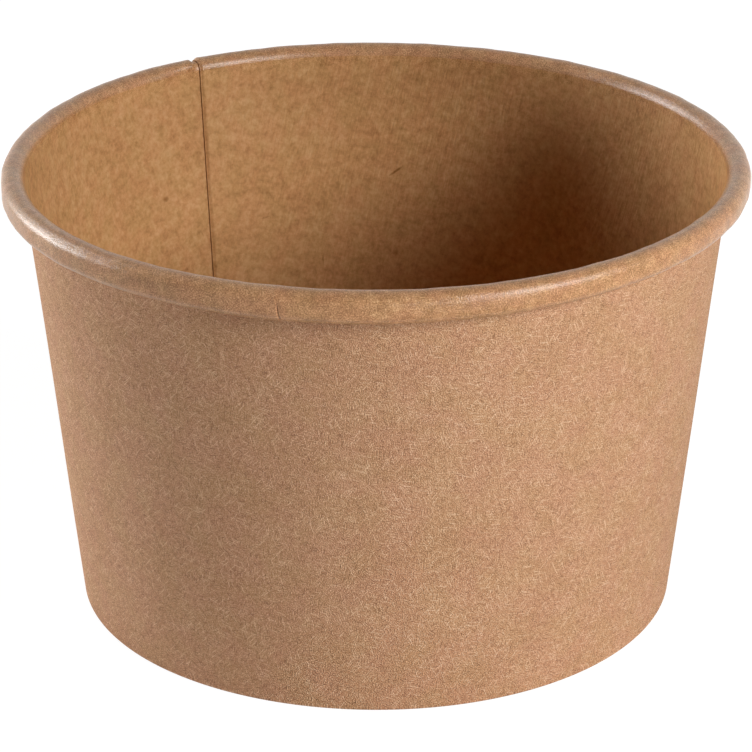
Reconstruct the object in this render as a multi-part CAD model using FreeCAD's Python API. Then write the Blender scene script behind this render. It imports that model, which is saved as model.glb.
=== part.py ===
"""Paper ice cream tub, 95 mm across the rim and 59 mm tall, made of two pieces of kraft board.

The tub stands on z = 0 with its axis on Z.  All lengths are in millimetres.

side_wall: one fan-shaped sheet wrapped into a cone.  Its two ends lap and are sealed in one straight
seam.  Its top edge is rolled outwards into the rim, and its bottom edge is folded inwards and up, so
that it grips the skirt of the base.
base_disc: one round sheet whose edge is turned down into a skirt.  The skirt hangs in the pocket of
the folded foot, so the disc stands clear of the table.

Both sheets have a coated face, which is the food side.  Each sheet is drawn as a path of its coated
face in the (radius, height) plane, and the board lies on the right of that path.
"""

import FreeCAD
import Part

import math
import os

# Overall sizes of the tub.
rim_outer_diameter = 95.0
tub_height = 59.0
foot_outer_diameter = 77.6

# Board of the two sheets.
wall_board = 0.40
disc_board = 0.40

# Rolled rim: a bend over the top, a straight outer side, a bend below, and the tuck behind it.
curl_top_radius = 1.50
curl_side_run = 1.10
curl_tuck = 1.00
curl_gap = 0.12

# Lapped side seam.  The angle is that of the cut edge which shows inside the tub, from +X towards +Y.
seam_edge_angle = 122.8
lap_width = 6.5
lap_step = 0.35
lap_run_out = 6.0
run_out_sections = 5

# Recessed base.
disc_top_height = 7.0
disc_corner_radius = 1.0

# Folded foot: its pocket holds the skirt of the base, and its flat land stands on the table.
foot_land = 0.26
glue_line = 0.05
skirt_end_gap = 0.15
fold_in_gap = 1.2


def heading_vector(heading):
    """Unit vector in the (radius, height) plane for a heading in radians."""
    return math.cos(heading), math.sin(heading)


def right_of(heading):
    """Unit vector to the right of a heading, the side on which the board lies."""
    return math.sin(heading), -math.cos(heading)


def moved(point, direction, distance):
    """The point that lies a distance along a direction."""
    return point[0] + distance * direction[0], point[1] + distance * direction[1]


class SheetPath:
    """The coated face of a sheet in section: straight runs and round bends, each tangent to the last."""

    def __init__(self, start, heading):
        self.point = start
        self.heading = heading
        self.pieces = []

    def run(self, length):
        """A straight run."""
        self.pieces.append(("run", self.point, self.heading, length))
        self.point = moved(self.point, heading_vector(self.heading), length)

    def bend(self, radius, turn):
        """A round bend.  A positive turn is to the left, with the coated face on the inside."""
        side = -1.0 if turn > 0 else 1.0
        centre = moved(self.point, right_of(self.heading), side * radius)
        self.pieces.append(("bend", centre, self.heading, turn, radius))
        self.heading += turn
        self.point = moved(centre, right_of(self.heading), -side * radius)

    def offset_points(self, piece, depth):
        """First, middle and last point of one piece, at a depth to the right of the coated face."""
        if piece[0] == "run":
            _, start, heading, length = piece
            start = moved(start, right_of(heading), depth)
            return [moved(start, heading_vector(heading), length * share) for share in (0.0, 0.5, 1.0)]
        _, centre, heading, turn, radius = piece
        reach = radius + depth if turn > 0 else depth - radius
        return [moved(centre, right_of(heading + turn * share), reach) for share in (0.0, 0.5, 1.0)]

    def edges(self, depth):
        """Edges of the line that lies at a depth to the right of the coated face."""
        made = []
        for piece in self.pieces:
            first, middle, last = [FreeCAD.Vector(r, 0, z) for r, z in self.offset_points(piece, depth)]
            if piece[0] == "run":
                made.append(Part.LineSegment(first, last).toShape())
            else:
                made.append(Part.Arc(first, middle, last).toShape())
        return made

    def section(self, board):
        """Closed wire round the board: its coated face, its other face and its two cut edges."""
        coated = self.edges(0)
        other = self.edges(board)
        start_cut = Part.LineSegment(other[0].Vertexes[0].Point, coated[0].Vertexes[0].Point)
        end_cut = Part.LineSegment(coated[-1].Vertexes[-1].Point, other[-1].Vertexes[-1].Point)
        loop = [start_cut.toShape()] + coated + [end_cut.toShape()] + other[::-1]
        return Part.Wire(Part.__sortEdges__(loop))


def wall_lean():
    """Lean of the wall from upright: its outer face starts at the foot and is tangent to the curl."""
    curl_core = curl_top_radius - wall_board
    reach_out = rim_outer_diameter / 2 - curl_top_radius - foot_outer_diameter / 2
    reach_up = tub_height - curl_top_radius
    return math.atan2(reach_out, reach_up) - math.asin(curl_core / math.hypot(reach_out, reach_up))


def wall_radius(depth, height):
    """Radius of the wall at a height, at a depth behind its coated face."""
    lean = wall_lean()
    return foot_outer_diameter / 2 + height * math.tan(lean) + (depth - wall_board) / math.cos(lean)


def curl_under_radius():
    """Radius of the curl's lower bend, which brings the tucked edge to curl_gap from the wall."""
    lean = wall_lean()
    bend_height = tub_height - curl_top_radius - curl_side_run
    clear = (rim_outer_diameter / 2 - wall_radius(wall_board, bend_height)) * math.cos(lean)
    return (clear - curl_gap) / (1 + math.cos(lean))


def wall_path(step):
    """Coated face of the side wall, set back by a step where the sheet is the outer ply of the lap.

    It runs down the folded-in edge, round the foot, up the wall and round the curl.  The foot keeps
    its height at every step, because both plies are pressed flat on the table.
    """
    lean = wall_lean()
    up = math.pi / 2 - lean
    pocket = disc_board + 2 * glue_line
    fold_radius = (pocket - foot_land) / 2
    fold_height = wall_board + fold_radius
    outer_fold = wall_radius(step, fold_height) - fold_radius / math.cos(lean)
    land = (foot_land + 2 * step) / math.cos(lean)
    inner_fold = (outer_fold - land, fold_height)
    fold_in_foot = moved(inner_fold, right_of(up + math.pi), fold_radius)
    fold_in_top = disc_top_height - disc_board - fold_in_gap
    fold_in_run = (fold_in_top - fold_in_foot[1]) / math.cos(lean)

    path = SheetPath(moved(fold_in_foot, heading_vector(up), fold_in_run), up + math.pi)
    path.run(fold_in_run)
    path.bend(fold_radius, math.pi - up)
    path.run(land)
    path.bend(fold_radius, up)

    curl_centre = (rim_outer_diameter / 2 - curl_top_radius, tub_height - curl_top_radius)
    curl_start = moved(curl_centre, right_of(up), step - curl_top_radius)
    path.run(math.dist(path.point, curl_start))
    path.bend(curl_top_radius - step, -math.pi / 2 - up)
    path.run(curl_side_run)
    path.bend(curl_under_radius() - step, up - 3 * math.pi / 2)
    path.run(curl_tuck)
    return path


def turned(shape, angle):
    """A copy of a shape turned about the tub's axis by an angle in degrees."""
    copy = shape.copy()
    copy.rotate(FreeCAD.Vector(0, 0, 0), FreeCAD.Vector(0, 0, 1), angle)
    return copy


def swept(section, start, end):
    """Solid that a section makes as it turns about the axis from one angle to another, in degrees."""
    face = Part.Face(turned(section, start))
    return face.revolve(FreeCAD.Vector(0, 0, 0), FreeCAD.Vector(0, 0, 1), end - start)


def eased(share):
    """Smooth step from 0 to 1 with level ends."""
    return share * share * (3 - 2 * share)


def make_side_wall():
    """The wrapped sheet.

    The inner ply ends at the seam edge.  The outer ply laps behind it by lap_width, and past the seam
    edge it eases back over lap_run_out to the line that the rest of the wall keeps.
    """
    seam_radius = wall_radius(0, tub_height / 2)
    lap_angle = math.degrees(lap_width / seam_radius)
    run_out_angle = math.degrees(lap_run_out / seam_radius)
    inner_ply = wall_path(0).section(wall_board)
    outer_ply = wall_path(lap_step).section(wall_board)

    sheet = swept(inner_ply, seam_edge_angle + run_out_angle, seam_edge_angle + 360)
    lap = swept(outer_ply, seam_edge_angle - lap_angle, seam_edge_angle)
    run_out = []
    for index in range(run_out_sections):
        share = index / (run_out_sections - 1)
        ply = wall_path(lap_step * (1 - eased(share))).section(wall_board)
        run_out.append(turned(ply, seam_edge_angle + share * run_out_angle))
    return sheet.fuse([Part.makeLoft(run_out, True, False), lap]).removeSplitter().Solids[0]


def make_base_disc():
    """The recessed base: a flat disc whose skirt hangs in the pocket of the folded foot."""
    lean = wall_lean()
    corner_height = disc_top_height - disc_corner_radius
    corner_centre = wall_radius(0, corner_height) - (glue_line + disc_corner_radius) / math.cos(lean)
    skirt_end_height = wall_board + skirt_end_gap

    path = SheetPath((0.0, disc_top_height), 0.0)
    path.run(corner_centre)
    path.bend(disc_corner_radius, -math.pi / 2 - lean)
    path.run((path.point[1] - skirt_end_height) / math.cos(lean))
    return swept(path.section(disc_board), 0, 360)


def main():
    """Builds each piece and writes it to its own file."""
    os.makedirs("parts", exist_ok=True)
    for name, shape in (("side_wall", make_side_wall()), ("base_disc", make_base_disc())):
        shape.exportStep(f"parts/{name}.step")
        box = shape.optimalBoundingBox(True, False)
        size = f"{box.XLength:.2f} x {box.YLength:.2f} x {box.ZLength:.2f} mm"
        print(name, shape.ShapeType, size, f"from z {box.ZMin:.2f}", f"{shape.Volume:.1f} mm3", shape.isValid())


main()
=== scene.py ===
# %% [markdown]
# # A kraft board tub with a rolled rim
#
# The real tub is made of two pieces of brown board.  One is a fan-shaped sheet, wrapped into a cone with
# a lapped seam, rolled outwards at the top and folded inwards at the foot.  The other is a round base
# whose turned-down edge is held in that fold.
#
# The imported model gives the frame: its two solids have the true sizes.  Here each of them is drawn again
# as a finer sheet of board, in the same place, so that it can carry the seam, the creases and the fibres.

import math

import bpy
import numpy as np
from mathutils import Matrix, Vector


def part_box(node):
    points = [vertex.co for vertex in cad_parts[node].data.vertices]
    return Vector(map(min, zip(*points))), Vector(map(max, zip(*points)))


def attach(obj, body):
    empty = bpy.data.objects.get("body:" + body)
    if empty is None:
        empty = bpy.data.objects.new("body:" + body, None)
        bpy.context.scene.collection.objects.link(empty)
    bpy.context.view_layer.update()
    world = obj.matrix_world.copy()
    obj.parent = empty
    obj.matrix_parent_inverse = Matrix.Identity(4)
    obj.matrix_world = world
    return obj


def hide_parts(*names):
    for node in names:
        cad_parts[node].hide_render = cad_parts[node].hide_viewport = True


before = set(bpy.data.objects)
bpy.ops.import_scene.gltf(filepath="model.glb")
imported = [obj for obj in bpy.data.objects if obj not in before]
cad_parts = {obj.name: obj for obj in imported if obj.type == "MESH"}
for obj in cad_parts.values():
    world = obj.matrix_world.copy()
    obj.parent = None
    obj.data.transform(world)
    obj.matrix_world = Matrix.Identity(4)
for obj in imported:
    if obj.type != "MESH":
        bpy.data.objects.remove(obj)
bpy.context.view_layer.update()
print("frame nodes:", sorted(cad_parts))

# %% [markdown]
# ## Sizes
#
# The rim's width, the height and the base's height come from the frame.  The rest are the board's own
# sizes, in millimetres.  The wall leans outwards: its outer face starts at the foot and runs up to touch
# the roll of the rim, and one angle says how much.

# %% Sizes in millimetres
MM = 0.001
wall_low, wall_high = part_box("side_wall")
disc_low, disc_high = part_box("base_disc")
RIM_RADIUS = (wall_high.x - wall_low.x) / 2 / MM
TUB_HEIGHT = wall_high.z / MM
DISC_HEIGHT = disc_high.z / MM
FOOT_RADIUS = 38.8

BOARD = 0.40
CURL_RADIUS = 1.50
CURL_SIDE = 1.10
CURL_TUCK = 1.00
CURL_GAP = 0.12
SEAM_AZIMUTH = math.radians(122.8)
LAP_WIDTH = 6.5
LAP_RUN_OUT = 6.0
PLY_STEP = 0.41
FOOT_LAND = 0.26
SKIRT_POCKET = 0.50
FOLD_IN_TOP = 5.4

reach_out = RIM_RADIUS - CURL_RADIUS - FOOT_RADIUS
reach_up = TUB_HEIGHT - CURL_RADIUS
LEAN = math.atan2(reach_out, reach_up) - math.asin((CURL_RADIUS - BOARD) / math.hypot(reach_out, reach_up))


def wall_radius(depth, height):
    """Radius at a height of the straight cone that lies at a depth behind the wall's coated face."""
    return FOOT_RADIUS + height * math.tan(LEAN) + (depth - BOARD) / math.cos(LEAN)


MIDDLE_RADIUS = wall_radius(0, TUB_HEIGHT / 2)
LAP_ANGLE = LAP_WIDTH / MIDDLE_RADIUS
RUN_OUT_ANGLE = LAP_RUN_OUT / MIDDLE_RADIUS
print(f"rim radius {RIM_RADIUS:.2f}, height {TUB_HEIGHT:.2f}, lean {math.degrees(LEAN):.2f} degrees")

# %% [markdown]
# ## The seam and the columns of the grid
#
# The sheet starts behind the seam, as the outer ply of the lap.  It comes forward by one board's
# thickness over a few millimetres, goes all the way round, and ends at the seam's cut edge, which shows
# inside the tub.  So its angle runs over more than a full turn.
#
# A grid has a column at each angle.  They are spread evenly and gathered where the sheet has small
# forms: at the two cut edges and at the creases that the rolling left in the rim.

# %% Columns of the wrapped sheet
SHEET_START = SEAM_AZIMUTH - LAP_ANGLE
SHEET_END = SEAM_AZIMUTH + math.tau
EVEN_COLUMNS = 400
CREASES = (  # azimuths of both ends in degrees, depth and half width in mm, both ends as shares of the roll
    (-104.2, -103.1, 0.18, 0.08, 0.50, 1.00),
    (-104.5, -104.5, -0.04, 0.30, 0.15, 0.62),
    (-74.1, -74.1, 0.08, 0.08, 0.62, 0.95),
    (-62.9, -62.5, 0.06, 0.07, 0.50, 0.72),
)
CREASE_SPREAD, CREASE_COLUMNS = 0.8, 33
RUN_OUT_SPREAD, RUN_OUT_COLUMNS = 1.0, 24
EDGE_NEAREST, EDGE_SPREAD, EDGE_COLUMNS = 0.02, 4.0, 18
LAP_BEFORE, LAP_AFTER, LAP_COLUMNS = 4.0, 0.5, 14
LEAST_SPACING = 0.03


def smooth(share):
    """Smooth step: 0 below 0, 1 above 1, and 3 x squared less 2 x cubed between them."""
    share = np.clip(share, 0, 1)
    return share * share * (3 - 2 * share)


def on_sheet(azimuth):
    """The sheet's own angle for an azimuth in degrees, counted on from the seam."""
    return SEAM_AZIMUTH + (np.radians(azimuth) - SEAM_AZIMUTH) % math.tau


def make_columns():
    """Sorted angles: an even spread joined with close ones at each small form, none nearer than a least."""
    aside = np.linspace(-CREASE_SPREAD, CREASE_SPREAD, CREASE_COLUMNS)
    close = [aside + math.degrees(on_sheet((crease[0] + crease[1]) / 2)) for crease in CREASES]
    seam = math.degrees(SEAM_AZIMUTH)
    lap_edge = seam + 360 - math.degrees(LAP_ANGLE)
    close.append(seam + np.linspace(-RUN_OUT_SPREAD, math.degrees(RUN_OUT_ANGLE), RUN_OUT_COLUMNS))
    close.append(seam + 360 - np.geomspace(EDGE_NEAREST, EDGE_SPREAD, EDGE_COLUMNS))
    close.append(lap_edge + np.linspace(-LAP_BEFORE, LAP_AFTER, LAP_COLUMNS))
    even = np.linspace(math.degrees(SHEET_START), math.degrees(SHEET_END), EVEN_COLUMNS)
    angles = np.sort(np.concatenate([even, *close]))
    angles = angles[np.append(True, np.diff(angles) > LEAST_SPACING)]
    angles[-1] = math.degrees(SHEET_END)
    return np.radians(angles)


columns = make_columns()
print(len(columns), "columns over", round(math.degrees(SHEET_END - SHEET_START), 1), "degrees")

# %% [markdown]
# ## One section of board
#
# In section the sheet is a path of its coated face, made of straight runs and round bends that touch
# smoothly, and the board lies on the right of that path.  The same path can be walked for every column at
# once, with sizes that change slowly from column to column.  That is how the rim's roll can be a little
# taller on one side, as it is on a real tub.


# %% Walking a path of runs and bends
def walk(start, heading, legs):
    """Points along a path, for all columns at once.

    Each leg is (size, turn, steps).  A run, with no turn, adds share x size along the heading.  A bend
    has its centre beside the path at the radius, and turns the heading by share x turn about it.
    Returns points and unit vectors to the right of the heading, as (steps, columns, 2) arrays of radius
    and height, and the distance walked.
    """
    point = np.stack(np.broadcast_arrays(*start), -1).astype(float)
    walked = np.zeros(len(point))
    points, sides, distances = [], [], []
    for size, turn, steps in legs:
        size = np.broadcast_to(size, len(point))[None, :, None]
        first = 0 if not points else 1
        share = np.linspace(0, 1, steps + 1)[first:, None, None]
        angle = heading + share * turn
        right = np.concatenate([np.sin(angle), -np.cos(angle)], -1)
        if turn:
            toward_centre = math.copysign(1, turn)
            left = np.array([-math.sin(heading), math.cos(heading)])
            centre = point + toward_centre * size * left
            made = centre + toward_centre * size * right
            length = size[..., 0] * abs(turn) * share[..., 0]
        else:
            made = point + share * size * np.array([math.cos(heading), math.sin(heading)])
            length = size[..., 0] * share[..., 0]
        points.append(made)
        sides.append(np.broadcast_to(right, made.shape))
        distances.append(walked + length)
        heading += turn
        point = made[-1]
        walked = distances[-1][-1]
    return np.concatenate(points), np.concatenate(sides), np.concatenate(distances)


# %% [markdown]
# ## The wrapped sheet
#
# The path runs down the folded-in edge, round the foot, up the wall and round the roll of the rim to its
# tucked edge.  Where two plies lie on each other, the outer one is set back by a board's thickness, and
# the roll is wound a little tighter, so that its tucked edge still clears the wall.
#
# The cut edge itself is crushed by the sealing bar, so it ends in a soft slope and a thin face.  On the
# roll the die presses both plies to nearly one height, so the step there runs out sooner.
#
# A real paper tub is never quite round or even.  The roll is taller on one side than on the other, and
# the mouth is slightly out of round and out of level.  All of these are slow waves round the tub.

# %% Depth of the plies
PLY_LIFT = 0.03
PLY_LIFT_WIDTH = 1.4
TIGHTENING_ANGLE = math.radians(4)
SEAM_CRUSH = 0.25
SEAM_CRUSH_WIDTH = 0.45
ROLL_RUN_OUT = 0.5


def second_ply(angle):
    """How far a second ply pushes the wall out: one step in the lap, easing to none at both sides of it."""
    past = (angle - SEAM_AZIMUTH + math.pi) % math.tau - math.pi
    before = smooth((-LAP_ANGLE - past) / TIGHTENING_ANGLE)
    after = smooth(past / RUN_OUT_ANGLE)
    return PLY_STEP * (1 - np.maximum(before, after))


def ply_depth(angle):
    """Depth of the sheet's coated face: set back while it is the outer ply, and lifted at its last edge."""
    outer = np.where(angle < SEAM_AZIMUTH + math.pi, second_ply(angle), 0.0)
    from_edge = (SHEET_END - angle) * MIDDLE_RADIUS
    return outer - PLY_LIFT * (1 - smooth(from_edge / PLY_LIFT_WIDTH))


def crushed(angle):
    """How far the coated face is pressed in at the seam's cut edge, while the other face stays."""
    from_edge = (SHEET_END - angle) * MIDDLE_RADIUS
    return SEAM_CRUSH * (1 - smooth(from_edge / SEAM_CRUSH_WIDTH))


def roll_levelled(angle):
    """Shift outwards in mm on the roll: past the seam's edge the outer ply comes up within ROLL_RUN_OUT."""
    past = (angle - SEAM_AZIMUTH) * MIDDLE_RADIUS
    soon = PLY_STEP * (1 - smooth(past / ROLL_RUN_OUT))
    return np.where((past > 0) & (angle < SEAM_AZIMUTH + math.pi), second_ply(angle) - soon, 0.0)


# %% Slow waves round the tub
ROLL_TALLER = ((1, 0.43, 179), (2, 0.15, -42), (3, 0.155, 23))  # lobes, height in mm, azimuth of a crest
MOUTH_SHAPE = ((0, 0.065, 0), (1, 0.19, 120), (2, 0.10, 15), (3, 0.17, -6.5), (4, 0.08, 33), (5, 0.05, -10))
MOUTH_RAISED = ((0, 0.05, 0), (1, 0.03, 166))
WALL_BUCKLE = 0.04
BUCKLE_TURN_HEIGHT = 9.0


def waves(angle, shape):
    """Sum of height x cos(lobes x (angle less the azimuth of a crest))."""
    return sum(height * np.cos(lobes * (angle - math.radians(crest))) for lobes, height, crest in shape)


def curl_side(angle):
    """Height of the straight side of the rim's roll: its mean and its slow waves."""
    return CURL_SIDE + waves(angle, ROLL_TALLER)


def out_of_round(angle, height):
    """Shifts outwards and up in mm: the mouth's waves x (height / tub's height) squared, and a buckle."""
    rise = np.clip(height / TUB_HEIGHT, 0, 1) ** 2
    buckle = WALL_BUCKLE * np.sin(4 * angle + height / BUCKLE_TURN_HEIGHT)
    return np.stack([rise * waves(angle, MOUTH_SHAPE) + buckle, rise * waves(angle, MOUTH_RAISED)], -1)


# %% The sheet's faces
FOLD_STEPS, BEND_STEPS, LAND_STEPS, WALL_STEPS = 5, 6, 1, 32
CURL_STEPS, SIDE_STEPS, UNDER_STEPS, TUCK_STEPS = 16, 3, 12, 2
LAP_FOLD_LIFT = 0.05


def sheet_faces(angle):
    """Coated face and other face of the wrapped sheet as (rows, columns, 2) arrays of radius and height.

    The legs are the fold-in, the fold's two bends with the land between them, the wall, and the roll.
    """
    depth = ply_depth(angle)
    up = math.pi / 2 - LEAN
    fold_radius = (SKIRT_POCKET - FOOT_LAND) / 2
    fold_height = BOARD + fold_radius + LAP_FOLD_LIFT * (angle > SEAM_AZIMUTH + math.tau - LAP_ANGLE)
    land = (FOOT_LAND + 2 * np.maximum(depth, 0)) / math.cos(LEAN)
    inner_fold = wall_radius(depth, fold_height) - fold_radius / math.cos(LEAN) - land
    foot_of_fold = inner_fold - fold_radius * math.cos(LEAN), fold_height + fold_radius * math.sin(LEAN)
    fold_in = (FOLD_IN_TOP - foot_of_fold[1]) / math.cos(LEAN)
    start = foot_of_fold[0] + fold_in * math.sin(LEAN), foot_of_fold[1] + fold_in * math.cos(LEAN)

    side = curl_side(angle)
    under_height = TUB_HEIGHT - CURL_RADIUS - side
    clear = (RIM_RADIUS - wall_radius(BOARD + second_ply(angle), under_height)) * math.cos(LEAN)
    under_radius = (clear - CURL_GAP) / (1 + math.cos(LEAN))

    curl_start = TUB_HEIGHT - CURL_RADIUS + (CURL_RADIUS - depth) * math.sin(LEAN)
    wall_start = fold_height - fold_radius * math.sin(LEAN)
    wall_run = (curl_start - wall_start) / math.cos(LEAN)
    legs = [
        (fold_in, 0, FOLD_STEPS),
        (fold_radius, math.pi - up, BEND_STEPS),
        (land, 0, LAND_STEPS),
        (fold_radius, up, BEND_STEPS),
        (wall_run, 0, WALL_STEPS),
        (CURL_RADIUS - depth, -math.pi / 2 - up, CURL_STEPS),
        (side, 0, SIDE_STEPS),
        (under_radius - depth, up - 3 * math.pi / 2, UNDER_STEPS),
        (CURL_TUCK, 0, TUCK_STEPS),
    ]
    points, sides, walked = walk(start, up + math.pi, legs)
    wall_row = FOLD_STEPS + BEND_STEPS + LAND_STEPS + BEND_STEPS
    return points, sides, walked - walked[wall_row], wall_row


coated, right, walked, WALL_ROW = sheet_faces(columns)
CURL_ROW = WALL_ROW + WALL_STEPS
TUCK_ROW = len(coated) - 1 - TUCK_STEPS
print("section of", len(coated), "points, curl starts at row", CURL_ROW)

# %% [markdown]
# ## Creases and ribs
#
# Rolling the rim squeezes the board, and here and there it gives in a fine crease across the roll.  The
# fold at the foot is pressed with a ribbed wheel, which leaves shallow upright ribs on its inside.  Both
# are small shifts of the surface along its own normal, and both faces of the board move together.

# %% Small forms of the sheet
RIB_COUNT = 90
RIB_DEPTH = 0.05
RIB_FADE_ROWS = 2
CREASE_FADE = 0.10  # share of the roll over which a crease comes and goes
ROLL_FADE_IN, ROLL_FADE_OUT = 0.15, 0.2  # shares over which the waves on the roll come and go
ROLL_WAVES = (  # waves round the tub, turn of phase along the roll, height in mm, phase
    (29, 2.1, 0.016, 0.4),
    (43, -3.0, 0.014, 1.9),
    (71, 4.2, 0.010, 3.1),
    (97, -1.5, 0.008, 5.0),
)


def pressed(angle, rows):
    """Shift into the board in mm: bell-shaped dents and waves on the roll, and a cosine for the ribs."""
    shift = np.zeros((rows, len(angle)))
    along = (np.arange(rows) - CURL_ROW) / (TUCK_ROW - CURL_ROW)
    for first, last, depth, half_width, start, end in CREASES:
        azimuth = first + (last - first) * np.clip((along - start) / (end - start), 0, 1)
        across = (angle[None] - on_sheet(azimuth)[:, None]) * RIM_RADIUS / half_width
        reach = smooth((along - start) / CREASE_FADE) * smooth((end - along) / CREASE_FADE)
        shift += depth * reach[:, None] * np.exp(-across ** 2)
    on_roll = smooth(along / ROLL_FADE_IN) * smooth((1 - along) / ROLL_FADE_OUT)
    shift -= on_roll[:, None] * roll_levelled(angle)[None]
    for lobes, slope, height, phase in ROLL_WAVES:
        shift += height * on_roll[:, None] * np.sin(lobes * angle[None] + slope * along[:, None] + phase)
    ribs = 0.5 - 0.5 * np.cos(RIB_COUNT * angle)
    ribbed = smooth((FOLD_STEPS - np.arange(rows)) / RIB_FADE_ROWS)
    return shift + RIB_DEPTH * ribbed[:, None] * ribs[None]


coated = coated + right * pressed(columns, len(coated))[..., None]
other = coated + right * BOARD
coated = coated + right * crushed(columns)[None, :, None]
for face in (coated, other):
    face += out_of_round(columns[None], face[..., 1])
print(f"lowest point {other[..., 1].min():.3f} mm, widest radius {coated[..., 0].max():.3f} mm")

# %% [markdown]
# ## The slant of the seam
#
# The knife's cut isn't quite in line with the tub's axis.  The sheet's last few degrees are turned a
# little, more at the top than at the foot, so that its edge slants as the real one does.

# %% Angles of the grid's points
SEAM_TURN_AT_RIM = math.radians(-0.60)
SEAM_TURN_PER_MM = math.radians(0.021)
SEAM_TURN_HEIGHT = 57.0
SEAM_TURN_SPREAD = math.radians(6)


def point_angles(face):
    """Angle of each point: its column's, plus near the last edge a turn that grows downwards."""
    turn = SEAM_TURN_AT_RIM + SEAM_TURN_PER_MM * (SEAM_TURN_HEIGHT - face[..., 1])
    return columns[None] + turn * smooth(1 - (SHEET_END - columns) / SEAM_TURN_SPREAD)[None]


coated_angles = point_angles(coated)
print("seam's edge turned by up to", round(math.degrees(float(np.ptp(coated_angles[:, -1]))), 2), "degrees")

# %% [markdown]
# ## The flat blank
#
# Fibres lie in the board before it is wrapped, so their pattern belongs to the flat blank.  A cone
# unrolls into a fan: the distance from the cone's tip stays, and the angle shrinks by the sine of the
# lean.  Those fan coordinates, in millimetres, are the surface's own map, and a pattern on them neither
# stretches nor breaks anywhere except at the seam, as on the real tub.  The other face of the board is
# moved aside on the map, so that the two faces don't show the same fibres.

# %% Coordinates on the flat blank
FOOT_SLANT = wall_radius(0, BOARD) / math.sin(LEAN)
SHEET_MIDDLE = (SHEET_START + SHEET_END) / 2
OTHER_FACE_SHIFT = 500.0


def on_blank(angle, distance):
    """Place on the fan in mm: x is slant x sine and y is slant x cosine of the angle x sin(lean)."""
    slant = FOOT_SLANT + distance
    turn = (angle - SHEET_MIDDLE) * math.sin(LEAN)
    return np.stack([slant * np.sin(turn), slant * np.cos(turn) - FOOT_SLANT], -1)


sheet_map = on_blank(coated_angles, walked)
print("blank", np.round(np.ptp(sheet_map.reshape(-1, 2), axis=0), 1), "mm")

# %% [markdown]
# ## From grids to a closed mesh
#
# The two faces of the board are two grids of the same shape.  Strips along their borders close them into
# one thin solid: these are the cut edges.  Each face keeps its own material number, so that the coating,
# the bare board and the cut edge can look different.


# %% Building a closed sheet
COATED, BARE, CUT, ROLLED = 0, 1, 2, 3
SHARP_ANGLE = math.radians(45)


def grid_quads(rows, count, first, wrap=False):
    """Corners of a grid's quads, where point (row, column) has the number first + row x count + column."""
    row, column = np.meshgrid(np.arange(rows - 1), np.arange(count if wrap else count - 1), indexing="ij")
    after = (column + 1) % count
    this, above = row * count, (row + 1) * count
    corners = [this + column, this + after, above + after, above + column]
    return first + np.stack(corners, -1).reshape(-1, 4)


def strip_quads(one, two):
    """Quads between two lines of point numbers of the same length."""
    return np.stack([one[:-1], two[:-1], two[1:], one[1:]], -1)


def turned_points(face, angle):
    """Radius and height carried round the axis: x is radius x cosine, y is radius x sine, z is height."""
    return np.stack([face[..., 0] * np.cos(angle), face[..., 0] * np.sin(angle), face[..., 1]], -1)


def build_mesh(name, points, faces, kinds, flat_map, bent):
    """A mesh in metres with its material numbers, its map in mm, and how sharply the board is bent."""
    mesh = bpy.data.meshes.new(name)
    mesh.from_pydata((points * MM).tolist(), [], [[c for c in face if c >= 0] for face in faces.tolist()])
    mesh.polygons.foreach_set("material_index", kinds)
    corner = np.empty(len(mesh.loops), int)
    mesh.loops.foreach_get("vertex_index", corner)
    sizes = np.empty(len(mesh.polygons), int)
    mesh.polygons.foreach_get("loop_total", sizes)
    shift = np.repeat(np.where(kinds == BARE, OTHER_FACE_SHIFT, 0.0), sizes)
    layer = mesh.uv_layers.new(name="blank")
    layer.uv.foreach_set("vector", (flat_map[corner] + np.stack([shift, 0 * shift], -1)).ravel())
    mesh.attributes.new("bent", "FLOAT", "POINT").data.foreach_set("value", bent)
    mesh.polygons.foreach_set("use_smooth", np.ones(len(kinds), bool))
    mesh.set_sharp_from_angle(angle=SHARP_ANGLE)
    mesh.validate()
    piece = bpy.data.objects.new(name, mesh)
    bpy.context.scene.collection.objects.link(piece)
    return piece


def volume_of(piece):
    """Volume in cubic mm and number of triangles.

    The volume is the sum over triangles of a x (b cross c) / 6, and is positive if the faces point out.
    """
    mesh = piece.data
    mesh.calc_loop_triangles()
    corner = np.empty(len(mesh.loop_triangles) * 3, int)
    mesh.loop_triangles.foreach_get("vertices", corner)
    place = np.empty(len(mesh.vertices) * 3)
    mesh.vertices.foreach_get("co", place)
    a, b, c = place.reshape(-1, 3)[corner].reshape(-1, 3, 3).transpose(1, 0, 2) / MM
    return float(np.einsum("ij,ij->", a, np.cross(b, c)) / 6), len(mesh.loop_triangles)


# %% The wrapped wall
BENT_BLEND = 1.6


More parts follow.
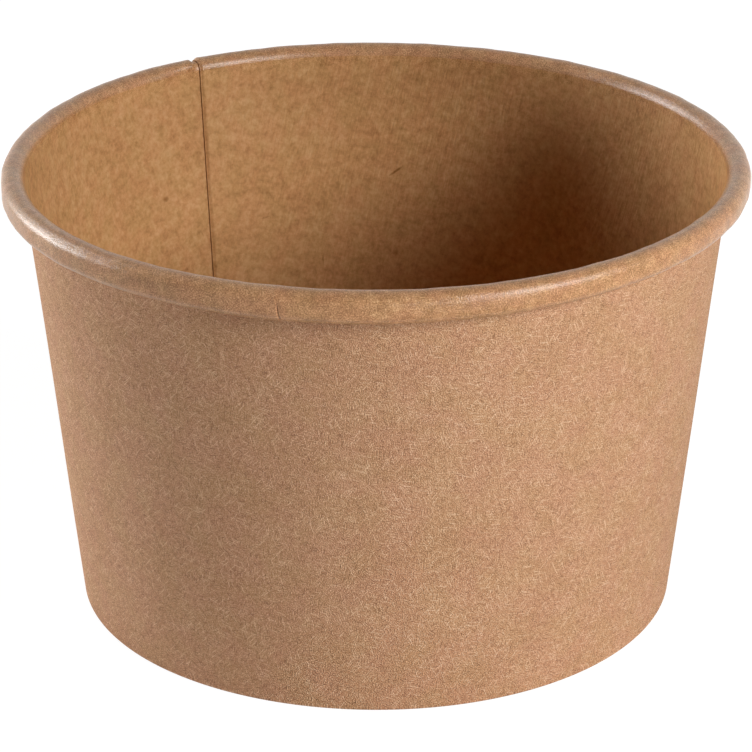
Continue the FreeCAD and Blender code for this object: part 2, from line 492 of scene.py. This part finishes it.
def build_wall():
    """Two grids of the wrapped sheet, joined by strips along its four edges.

    The attribute bent goes from 0 on the wall to 1 on the roll, over BENT_BLEND mm about the roll's start.
    """
    rows, count = coated.shape[:2]
    faces = [turned_points(face, coated_angles) for face in (coated, other)]
    points = np.concatenate(faces).reshape(-1, 3)
    number = np.arange(2 * rows * count).reshape(2, rows, count)
    front, back = number
    parts = [
        (grid_quads(CURL_ROW + 1, count, 0)[:, ::-1], COATED),
        (grid_quads(rows - CURL_ROW, count, CURL_ROW * count)[:, ::-1], ROLLED),
        (grid_quads(rows, count, rows * count), BARE),
        (strip_quads(front[0], back[0])[:, ::-1], CUT),
        (strip_quads(front[-1], back[-1]), CUT),
        (strip_quads(front[:, 0], back[:, 0]), CUT),
        (strip_quads(front[:, -1], back[:, -1])[:, ::-1], CUT),
    ]
    quads = np.concatenate([quads for quads, _ in parts])
    kinds = np.concatenate([np.full(len(quads), kind) for quads, kind in parts])
    bent = smooth((walked - walked[CURL_ROW] + BENT_BLEND / 2) / BENT_BLEND)
    flat_map = np.concatenate([sheet_map.reshape(-1, 2)] * 2)
    return build_mesh("wrapped_wall", points, quads, kinds, flat_map, np.concatenate([bent.ravel()] * 2))


wrapped_wall = build_wall()
print("wrapped wall: volume %.0f mm3, %d triangles" % volume_of(wrapped_wall))

# %% [markdown]
# ## The base
#
# The base is a round sheet pressed in a die: a flat middle, a small round corner and a skirt that hangs
# in the folded foot.  It is a profile turned about the axis.  The middle of a turned shape needs care:
# one point closes each face there, or the rings would leave a pinhole.  The flat middle is not quite
# flat, because the press leaves it slightly dished.

# %% Sizes of the base
DISC_CORNER = 1.0
GLUE_LINE = 0.05
SKIRT_END = 0.15
DISH_DEPTH = 0.25
DISH_EASE = 1.6
BASE_RIPPLES = ((2, 0.03, 0.4), (3, 0.02, 1.9))  # lobes, height in mm, phase
INNERMOST_RING = 0.8
DISC_COLUMNS = 240
MIDDLE_STEPS, CORNER_STEPS, SKIRT_STEPS = 34, 8, 6


def build_base():
    """A disc turned about the axis: rings out from the middle, a round corner, and the skirt."""
    angle = np.linspace(0, math.tau, DISC_COLUMNS, endpoint=False)
    corner_at = wall_radius(0, DISC_HEIGHT - DISC_CORNER) - (GLUE_LINE + DISC_CORNER) / math.cos(LEAN)
    corner_drop = DISC_CORNER * (1 + math.sin(LEAN))
    skirt = (DISC_HEIGHT - corner_drop - BOARD - SKIRT_END) / math.cos(LEAN)
    legs = [
        (corner_at - INNERMOST_RING, 0, MIDDLE_STEPS),
        (DISC_CORNER, -math.pi / 2 - LEAN, CORNER_STEPS),
        (skirt, 0, SKIRT_STEPS),
    ]
    start = np.full(DISC_COLUMNS, INNERMOST_RING), np.full(DISC_COLUMNS, DISC_HEIGHT)
    top, side, along = walk(start, 0.0, legs)
    radius = top[..., 0]
    ripple = sum(height * np.cos(lobes * angle + phase) for lobes, height, phase in BASE_RIPPLES)
    dish = smooth((corner_at - radius) / corner_at * DISH_EASE)
    dished = dish * (DISH_DEPTH + ripple * radius / corner_at)
    pressed_in = np.where(top[..., 1] > DISC_HEIGHT - 1e-6, dished, 0)
    top = top - np.stack([0 * pressed_in, pressed_in], -1)
    under = top + side * BOARD

    rows = len(top)
    rings = np.concatenate([turned_points(top, angle), turned_points(under, angle)]).reshape(-1, 3)
    middle_height = float(top[0, :, 1].mean())
    poles = np.array([[0, 0, middle_height], [0, 0, middle_height - BOARD]])
    points = np.concatenate([rings, poles])
    number = np.arange(2 * rows * DISC_COLUMNS).reshape(2, rows, DISC_COLUMNS)
    front, back = [np.concatenate([face, face[:, :1]], 1) for face in number]
    top_pole, under_pole = len(rings), len(rings) + 1

    def fan(ring, pole):
        """Triangles from a ring to its pole, marked as three-cornered by a last corner of -1."""
        return np.stack([np.full(DISC_COLUMNS, pole), ring[:-1], ring[1:], np.full(DISC_COLUMNS, -1)], -1)

    parts = [
        (grid_quads(rows, DISC_COLUMNS, 0, True)[:, ::-1], COATED),
        (fan(front[0], top_pole), COATED),
        (grid_quads(rows, DISC_COLUMNS, rows * DISC_COLUMNS, True), BARE),
        (fan(back[0], under_pole)[:, [0, 2, 1, 3]], BARE),
        (strip_quads(front[-1], back[-1]), CUT),
    ]
    faces = np.concatenate([quads for quads, _ in parts])
    kinds = np.concatenate([np.full(len(quads), kind) for quads, kind in parts])
    spread = (along + INNERMOST_RING)[..., None] * np.stack([np.cos(angle), np.sin(angle)], -1)
    flat_map = np.concatenate([spread.reshape(-1, 2), spread.reshape(-1, 2), np.zeros((2, 2))])
    bent = np.zeros(len(points))
    return build_mesh("pressed_base", points, faces, kinds, flat_map, bent)


pressed_base = build_base()
print("pressed base: volume %.0f mm3, %d triangles" % volume_of(pressed_base))

# %% [markdown]
# ## Riding on the frame
#
# Both pieces ride on the tub's one body and stand for the imported solid of the same piece, which is
# hidden.

# %% Riding on the frame
for piece, node_name, slot_name in (
    (wrapped_wall, "side_wall", "wall_board"),
    (pressed_base, "base_disc", "base_board"),
):
    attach(piece, "root")
    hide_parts(node_name)
    print(piece.name, "stands for", node_name)

# %% [markdown]
# ## Colours and nodes
#
# Colours are written as the sRGB hex values that an eye would pick from a screen, and one function turns
# them into the linear numbers that the renderer works with.  One other function adds a node, with its
# options, its numbers and the sockets that feed it.


# %% Colour and node helpers
def linear(code):
    """Linear colour of a hex code: c / 12.92 up to 0.04045, and above it ((c + 0.055) / 1.055) ^ 2.4."""
    parts = [int(code[i:i + 2], 16) / 255 for i in (0, 2, 4)]
    return (*[c / 12.92 if c <= 0.04045 else ((c + 0.055) / 1.055) ** 2.4 for c in parts], 1.0)


def add(tree, kind, feeds=None, **options):
    """Adds a node: options are its own settings, and feeds are numbers or sockets for its inputs."""
    made = tree.nodes.new("ShaderNode" + kind)
    for name, value in options.items():
        setattr(made, name, value)
    for name, value in (feeds or {}).items():
        if isinstance(value, bpy.types.NodeSocket):
            tree.links.new(value, made.inputs[name])
        else:
            made.inputs[name].default_value = value
    return made


# %% [markdown]
# ## Fibres
#
# Kraft board is a mat of wood fibres, one to three millimetres long and about 0.03 mm wide, lying in
# every direction.  They could be drawn as thousands of hairs, but a pattern is lighter: a Voronoi pattern
# puts one point in each cell, and if its cells are stretched, the round spot about each point becomes a
# long thin one.  Several such patterns, each turned another way and bent by a little noise, cross each
# other like a mat.  A real fibre is too fine for the picture, so each is drawn about 0.1 mm wide.

# %% Patterns on the blank
FIBRE_SPOT = 0.16
WAVER_SIZE = 2.4
GRAIN_SIZE = 0.17


def fibre_mat(tree, place, length, width, turns, shift):
    """Sum of stretched Voronoi spots, one pattern for each turn in degrees: 1 along a fibre, 0 between."""
    total = None
    for index, turn in enumerate(turns):
        scale = (2 * FIBRE_SPOT / length, 2 * FIBRE_SPOT / width, 1)
        turned = add(tree, "Mapping", {
            "Vector": place, "Rotation": (0, 0, math.radians(turn)),
        })
        stretched = add(tree, "Mapping", {
            "Vector": turned.outputs[0], "Location": (shift + 7.3 * index, 3.1 * index, 0), "Scale": scale,
        })
        cells = add(tree, "TexVoronoi", {
            "Vector": stretched.outputs[0], "Scale": 1.0,
        }, voronoi_dimensions="2D", feature="F1")
        spot = add(tree, "MapRange", {
            "Value": cells.outputs["Distance"], "From Min": FIBRE_SPOT, "From Max": FIBRE_SPOT * 0.35,
        }, interpolation_type="SMOOTHSTEP")
        pick = add(tree, "SeparateColor", {"Color": cells.outputs["Color"]})
        seen = add(tree, "Math", {0: spot.outputs[0], 1: pick.outputs[0]}, operation="MULTIPLY")
        if total is None:
            total = seen.outputs[0]
        else:
            total = add(tree, "Math", {0: total, 1: seen.outputs[0]}, operation="ADD").outputs[0]
    return total


def noise(tree, place, size, detail=2.0):
    """Fractal noise whose lumps are about size mm across: 0 to 1, with 0.5 as its mean."""
    return add(tree, "TexNoise", {
        "Vector": place, "Scale": 1 / size, "Detail": detail, "Roughness": 0.5,
    }, noise_dimensions="2D")


def wavered(tree, place, reach):
    """The place plus reach x slow noise, in mm, so that fibres laid on it bend a little."""
    waver = noise(tree, place, WAVER_SIZE, 1.0)
    return add(tree, "VectorMath", {
        0: waver.outputs["Color"], 1: (reach, reach, 0), 2: place,
    }, operation="MULTIPLY_ADD").outputs[0]


def hue_clouds(tree, place, size):
    """Clouds about size mm across, spread to run from 0 to 1."""
    soft = noise(tree, place, size).outputs[0]
    return add(tree, "MapRange", {"Value": soft, "From Min": 0.35, "From Max": 0.65}).outputs[0]


def weighed(tree, terms, start=0.5):
    """Start plus the sum of weight x (socket less its mean), as a chain of multiply-add nodes."""
    total = start - sum(weight * mean for _, weight, mean in terms)
    for socket, weight, _ in terms:
        total = add(tree, "Math", {0: socket, 1: weight, 2: total}, operation="MULTIPLY_ADD").outputs[0]
    return total


# %% Flecks
FLECKS_INSIDE = (  # azimuth in degrees, height, length, width in mm, turn in degrees, darkness
    (132.0, 41.1, 0.95, 0.80, 0, 0.42),
    (86.2, 41.25, 2.5, 0.36, 144, 0.50),
    (100.3, 28.7, 1.3, 0.30, 90, 0.36),
    (111.4, 35.6, 1.3, 0.30, 172, 0.30),
    (128.8, 30.5, 0.6, 0.5, 20, 0.20),
    (119.5, 35.2, 0.6, 0.5, 60, 0.20),
    (140.4, 44.0, 0.7, 0.5, 30, 0.18),
)
FLECKS_OUTSIDE = (
    (-158.7, 44.7, 0.50, 0.35, 0, 0.45),
    (-71.6, 51.45, 0.62, 0.34, 90, 0.50),
    (-95.7, 39.2, 0.70, 0.22, 70, 0.35),
)


FLECK_RIM, FLECK_CORE = 1.3, 0.4  # where a spot fades out and where it is full, as shares of its half size


def fleck_marks(tree, place, flecks, shift):
    """Darkness of a few odd fibres: soft spots, each stretched and turned about its own place."""
    total = None
    for azimuth, height, length, width, turn, darkness in flecks:
        angle = on_sheet(azimuth)
        centre = on_blank(np.array(angle), np.array((height - BOARD) / math.cos(LEAN)))
        tilt = math.radians(turn) - (angle - SHEET_MIDDLE) * math.sin(LEAN)
        moved = add(tree, "Mapping", {
            "Vector": place, "Location": (-float(centre[0]) - shift, -float(centre[1]), 0),
        })
        turned = add(tree, "Mapping", {
            "Vector": moved.outputs[0], "Rotation": (0, 0, -tilt),
        })
        shrunk = add(tree, "Mapping", {
            "Vector": turned.outputs[0], "Scale": (2 / length, 2 / width, 0),
        })
        far = add(tree, "VectorMath", {0: shrunk.outputs[0]}, operation="LENGTH")
        spot = add(tree, "MapRange", {
            "Value": far.outputs["Value"],
            "From Min": FLECK_RIM, "From Max": FLECK_CORE, "To Max": darkness,
        }, interpolation_type="SMOOTHSTEP")
        if total is None:
            total = spot.outputs[0]
        else:
            total = add(tree, "Math", {0: total, 1: spot.outputs[0]}, operation="MAXIMUM").outputs[0]
    return total


# %% [markdown]
# ## Bare kraft board
#
# The outside is unbleached sulphate pulp, pressed but not coated.  It is dull, mid brown, and evenly
# speckled: pale fibres and dark ones lie on top, the pulp between them is grainy, and slow clouds of pink
# and olive show where the pulp was thicker.  The light skims its relief, which is a few hundredths of a
# millimetre.

# %% Bare kraft
CELLULOSE_IOR = 1.5
KRAFT_DARK = linear("865F43")
KRAFT_MID = linear("C08F69")
KRAFT_PALE = linear("EBC7A6")
KRAFT_PINK = linear("C58D75")
KRAFT_OLIVE = linear("BB9769")
PALE_FIBRES = (2.0, 0.10, (8, 68, 127), 11)  # length and width in mm, turns in degrees, shift
DARK_FIBRES = (1.2, 0.11, (35, 98, 155), 57)
BARE_RELIEF = 0.15


def new_material(name):
    """A new material, with its node tree and its shader."""
    material = bpy.data.materials.new(name)
    material.use_nodes = True
    return material, material.node_tree, material.node_tree.nodes["Principled BSDF"]


def set_finish(shader, roughness, specular):
    """Roughness and gloss on the shader's own sockets, with the IOR of cellulose."""
    shader.inputs["Roughness"].default_value = roughness
    shader.inputs["IOR"].default_value = CELLULOSE_IOR
    shader.inputs["Specular IOR Level"].default_value = specular


def board_colour(tree, tone, clouds, dark, mid, pale, pink, olive, cloud_share):
    """Colour from tone, dark at 0, middle at 0.5 and pale at 1, tinted by slow clouds of two hues."""
    ramp = add(tree, "ValToRGB", {"Fac": tone})
    ramp.color_ramp.elements[0].color = dark
    ramp.color_ramp.elements[1].color = pale
    ramp.color_ramp.elements.new(0.5).color = mid
    hue = add(tree, "Mix", {"Factor": clouds, "A": pink, "B": olive}, data_type="RGBA")
    tinted = add(tree, "Mix", {
        "Factor": cloud_share, "A": ramp.outputs[0], "B": hue.outputs["Result"],
    }, data_type="RGBA")
    return tinted.outputs["Result"]


def make_bare_kraft():
    """Unbleached kraft board, uncoated: dull, with relief of about 0.03 mm, a fifth of BARE_RELIEF."""
    material, tree, shader = new_material("uncoated_kraft_board")
    place = add(tree, "UVMap", uv_map="blank").outputs[0]
    bent_place = wavered(tree, place, 0.35)
    pale = fibre_mat(tree, bent_place, *PALE_FIBRES)
    dark = fibre_mat(tree, bent_place, *DARK_FIBRES)
    grain = noise(tree, place, GRAIN_SIZE, 1.0).outputs[0]
    lumps = noise(tree, place, 0.6).outputs[0]
    clouds = noise(tree, place, 9.0).outputs[0]
    flecks = fleck_marks(tree, place, FLECKS_OUTSIDE, OTHER_FACE_SHIFT)
    tone = weighed(tree, [
        (grain, 1.20, 0.5), (lumps, 0.45, 0.5), (pale, 0.55, 0.05), (dark, -0.55, 0.05),
        (clouds, 0.15, 0.5), (flecks, -0.9, 0.0),
    ])
    hue = hue_clouds(tree, place, 5.0)
    colour = board_colour(
        tree, tone, hue, KRAFT_DARK, KRAFT_MID, KRAFT_PALE, KRAFT_PINK, KRAFT_OLIVE, 0.16
    )
    tree.links.new(colour, shader.inputs["Base Color"])
    relief = add(tree, "Bump", {"Height": grain, "Strength": 1.0, "Distance": BARE_RELIEF * MM})
    tree.links.new(relief.outputs[0], shader.inputs["Normal"])
    set_finish(shader, 0.8, 0.3)
    return material


bare_kraft = make_bare_kraft()
print(bare_kraft.name, len(bare_kraft.node_tree.nodes), "nodes")

# %% [markdown]
# ## Coated kraft board
#
# The food side has a thin film of plastic or wax pressed on.  It fills the gaps between the fibres, so
# the board is smoother and a little deeper in colour, with only a faint sheen on the wall.  Where the
# sheet is rolled into the rim, the film is stretched over the fibres and the grain stands out again, and
# there the light breaks up into sparkles.  The attribute bent says where that is.  The roll has a glossier
# finish of its own, made by the same function.

# %% Coated kraft
COATED_DARK = linear("865A31")
COATED_MID = linear("C99866")
COATED_PALE = linear("E8BD8E")
ROLLED_MID = linear("C18D61")
COATED_PINK = linear("CC8A5C")
COATED_OLIVE = linear("BB9358")
PALE_UNDER_FILM = (1.5, 0.13, (15, 105), 23)  # length and width in mm, turns in degrees, shift
DARK_UNDER_FILM = (1.1, 0.13, (60, 150), 71)
STREAK_WIDTH, STREAK_LENGTH = 0.38, 2.2
FLAT_SHARE = 0.12  # how much of the fibres shows through the film on the flat wall
ROLL_DARKER = -0.16


def make_coated_kraft(name, mid, specular, roughness, grain_relief, streak_relief):
    """Kraft board under a thin film.  The two reliefs are heights in mm, of the grain and the streaks."""
    material, tree, shader = new_material(name)
    place = add(tree, "UVMap", uv_map="blank").outputs[0]
    bent = add(tree, "Attribute", attribute_name="bent").outputs["Fac"]
    bent_place = wavered(tree, place, 0.7)
    pale = fibre_mat(tree, bent_place, *PALE_UNDER_FILM)
    dark = fibre_mat(tree, bent_place, *DARK_UNDER_FILM)
    grain = noise(tree, place, GRAIN_SIZE, 1.0).outputs[0]
    soft_grain = noise(tree, place, 0.50).outputs[0]
    lumps = noise(tree, place, 1.3).outputs[0]
    upright = add(tree, "Mapping", {"Vector": place, "Scale": (1 / STREAK_WIDTH, 1 / STREAK_LENGTH, 1)})
    streaks = add(tree, "TexNoise", {
        "Vector": upright.outputs[0], "Scale": 1.0, "Detail": 2.0,
    }, noise_dimensions="2D").outputs[0]
    clouds = noise(tree, place, 8.0).outputs[0]
    flecks = fleck_marks(tree, place, FLECKS_INSIDE, 0.0)
    share = add(tree, "MapRange", {"Value": bent, "To Min": FLAT_SHARE, "To Max": 1.0}).outputs[0]
    mat = weighed(tree, [(grain, 1.9, 0.5), (pale, 0.45, 0.04), (dark, -0.42, 0.04)], 0.0)
    mat = add(tree, "Math", {0: mat, 1: share}, operation="MULTIPLY").outputs[0]
    tone = weighed(tree, [
        (mat, 0.75, 0.0), (soft_grain, 0.44, 0.5), (lumps, 0.60, 0.5), (clouds, 0.25, 0.5),
        (streaks, 0.10, 0.5), (flecks, -0.9, 0.0), (bent, ROLL_DARKER, 0.0),
    ])
    hue = hue_clouds(tree, place, 3.5)
    colour = board_colour(
        tree, tone, hue, COATED_DARK, mid, COATED_PALE, COATED_PINK, COATED_OLIVE, 0.18
    )
    tree.links.new(colour, shader.inputs["Base Color"])
    height = weighed(tree, [(grain, grain_relief, 0.5), (streaks, streak_relief, 0.5)])
    relief = add(tree, "Bump", {"Height": height, "Strength": 1.0, "Distance": MM})
    tree.links.new(relief.outputs[0], shader.inputs["Normal"])
    set_finish(shader, roughness, specular)
    return material


coated_kraft = make_coated_kraft("coated_kraft_board", COATED_MID, 0.08, 0.5, 0.012, 0.06)
rolled_kraft = make_coated_kraft("rolled_coated_kraft", ROLLED_MID, 0.5, 0.28, 0.035, 0.02)
for material in (coated_kraft, rolled_kraft):
    print(material.name, len(material.node_tree.nodes), "nodes")

# %% [markdown]
# ## The cut edge
#
# A knife leaves the board's core open: loose fibres that hold the light, so the edge looks darker and
# duller than either face.  It shows as the thin dark line of the seam.


# %% Cut edge
CUT_DARK = linear("8A6342")
CUT_PALE = linear("B48C63")
CUT_GRAIN = 0.3


def make_cut_edge():
    """The open core of kraft board: dark, dull, with fine grain CUT_GRAIN mm across."""
    material, tree, shader = new_material("cut_kraft_edge")
    place = add(tree, "TexCoord").outputs["Object"]
    layers = add(tree, "TexNoise", {"Vector": place, "Scale": 1 / (CUT_GRAIN * MM), "Detail": 2.0})
    ramp = add(tree, "ValToRGB", {"Fac": layers.outputs[0]})
    ramp.color_ramp.elements[0].color = CUT_DARK
    ramp.color_ramp.elements[1].color = CUT_PALE
    tree.links.new(ramp.outputs[0], shader.inputs["Base Color"])
    set_finish(shader, 0.9, 0.5)
    return material


cut_edge = make_cut_edge()
for piece in (wrapped_wall, pressed_base):
    for material in (coated_kraft, bare_kraft, cut_edge, rolled_kraft):
        piece.data.materials.append(material)
print(cut_edge.name)

# %% [markdown]
# ## Light
#
# The tub stands in a white studio.  The key light comes from the front right and from above.  It lights
# the outside on the right and reaches over the rim to the inside on the left, and leaves the inside on
# the right in deep shade.  A low strip in front lifts the shade at the front.  Two lights behind on the
# left, one low and one high, light the outside on the left and draw the bright lines along the rim.  Each
# light's level is the share of full light that it puts on a surface facing it: at level 1 a colour
# renders as it is written.

# %% Lights
LIGHTS = (  # name, azimuth and elevation in degrees, width and height in metres, level
    ("key", -38, 25, 0.35, 0.35, 0.80),
    ("front_low", -58, 1.5, 0.50, 0.10, 0.24),
    ("back_left", 160, 8, 0.50, 0.35, 0.78),
    ("back_high", 149, 30, 0.25, 0.25, 0.22),
)
LIGHT_DISTANCE = 1.0


def add_light(name, azimuth, elevation, width, height, level):
    """A soft box on a sphere about the tub.  Its power for a level is level x (pi x distance) squared."""
    azimuth, elevation = math.radians(azimuth), math.radians(elevation)
    toward = Vector((
        math.cos(azimuth) * math.cos(elevation),
        math.sin(azimuth) * math.cos(elevation),
        math.sin(elevation),
    ))
    middle = Vector((0, 0, TUB_HEIGHT / 2 * MM))
    lamp = bpy.data.lights.new(name, "AREA")
    lamp.shape = "RECTANGLE"
    lamp.size = width
    lamp.size_y = height
    lamp.energy = level * (math.pi * LIGHT_DISTANCE) ** 2
    holder = bpy.data.objects.new(name, lamp)
    holder.location = middle + LIGHT_DISTANCE * toward
    holder.rotation_euler = toward.to_track_quat("Z", "Y").to_euler()
    bpy.context.scene.collection.objects.link(holder)


for light in LIGHTS:
    add_light(*light)
print(len(LIGHTS), "lights")

# %% [markdown]
# ## Floor and background
#
# The studio is white to the eye and in reflections, whatever light falls on it: the camera's own rays
# and mirror-like ones meet a world of strength 1.  To the board's diffuse light the world gives nothing,
# and the floor is near-white card, which throws the lamps' light back up at the wall.  The floor that the
# eye sees is a grey card's shading added to a glow, so that the tub still has its soft shadow.

# %% Floor and world
FLOOR_HALF = 3.0
FLOOR_CARD = linear("F0EFEC")
FLOOR_SEEN = linear("7A7A7A")
FLOOR_GLOW = 0.94


def seen_directly(tree):
    """1 for camera and mirror-like rays, and 0 for the rays that only carry light between surfaces."""
    path = add(tree, "LightPath")
    both = add(tree, "Math", {
        0: path.outputs["Is Camera Ray"], 1: path.outputs["Is Glossy Ray"],
    }, operation="MAXIMUM")
    return both.outputs[0]


def make_floor():
    """A flat square of card that reaches far past the frame."""
    corners = np.array([[-1, -1, 0], [1, -1, 0], [1, 1, 0], [-1, 1, 0]]) * FLOOR_HALF
    mesh = bpy.data.meshes.new("floor")
    mesh.from_pydata(corners.tolist(), [], [(0, 1, 2, 3)])
    floor = bpy.data.objects.new("floor", mesh)
    bpy.context.scene.collection.objects.link(floor)
    material = bpy.data.materials.new("white_card")
    material.use_nodes = True
    tree = material.node_tree
    tree.nodes.remove(tree.nodes["Principled BSDF"])
    card = add(tree, "BsdfDiffuse", {"Color": FLOOR_CARD})
    seen = add(tree, "BsdfDiffuse", {"Color": FLOOR_SEEN})
    glow = add(tree, "Emission", {"Color": (1, 1, 1, 1), "Strength": FLOOR_GLOW})
    lit = add(tree, "AddShader", {0: seen.outputs[0], 1: glow.outputs[0]})
    both = add(tree, "MixShader", {0: seen_directly(tree), 1: card.outputs[0], 2: lit.outputs[0]})
    tree.links.new(both.outputs[0], tree.nodes["Material Output"].inputs["Surface"])
    mesh.materials.append(material)
    return floor


def make_world():
    """White to the camera and to mirror-like rays, and dark to the rest."""
    world = bpy.data.worlds.new("studio")
    bpy.context.scene.world = world
    world.use_nodes = True
    tree = world.node_tree
    tree.links.new(seen_directly(tree), tree.nodes["Background"].inputs["Strength"])
    tree.nodes["Background"].inputs["Color"].default_value = (1, 1, 1, 1)


make_floor()
make_world()
print("floor and world are white to the camera")

# %% [markdown]
# ## Camera
#
# A long lens looks down at the tub from about 23 degrees.  Its numbers come from fitting the outline of
# the rim and the foot, which for a round object fixes the distance, the angle and the lens together.

# %% Camera
CAMERA_PITCH = math.radians(23.346)
CAMERA_ROLL = math.radians(-0.1096)
CAMERA_DISTANCE = 473.84
CAMERA_TARGET = Vector((0, 0, 28.525))
SENSOR_WIDTH = 36
LENS_LENGTH = 173.54
CLIP_START = 0.01


def make_camera():
    """A camera on a circle about its target in the YZ plane, rolled a little about its own axis."""
    back = Vector((0, -math.cos(CAMERA_PITCH), math.sin(CAMERA_PITCH)))
    across = Vector((1, 0, 0))
    above = back.cross(across)
    right_side = across * math.cos(CAMERA_ROLL) + above * math.sin(CAMERA_ROLL)
    top_side = above * math.cos(CAMERA_ROLL) - across * math.sin(CAMERA_ROLL)
    lens = bpy.data.cameras.new("camera")
    lens.sensor_width = SENSOR_WIDTH
    lens.lens = LENS_LENGTH
    lens.clip_start = CLIP_START
    camera = bpy.data.objects.new("camera", lens)
    turn = Matrix((right_side, top_side, back)).transposed().to_4x4()
    camera.matrix_world = Matrix.Translation((CAMERA_TARGET + back * CAMERA_DISTANCE) * MM) @ turn
    bpy.context.scene.collection.objects.link(camera)
    bpy.context.scene.camera = camera
    bpy.context.scene.view_settings.view_transform = "Standard"


make_camera()
print("camera at", [round(x, 4) for x in bpy.context.scene.camera.location])
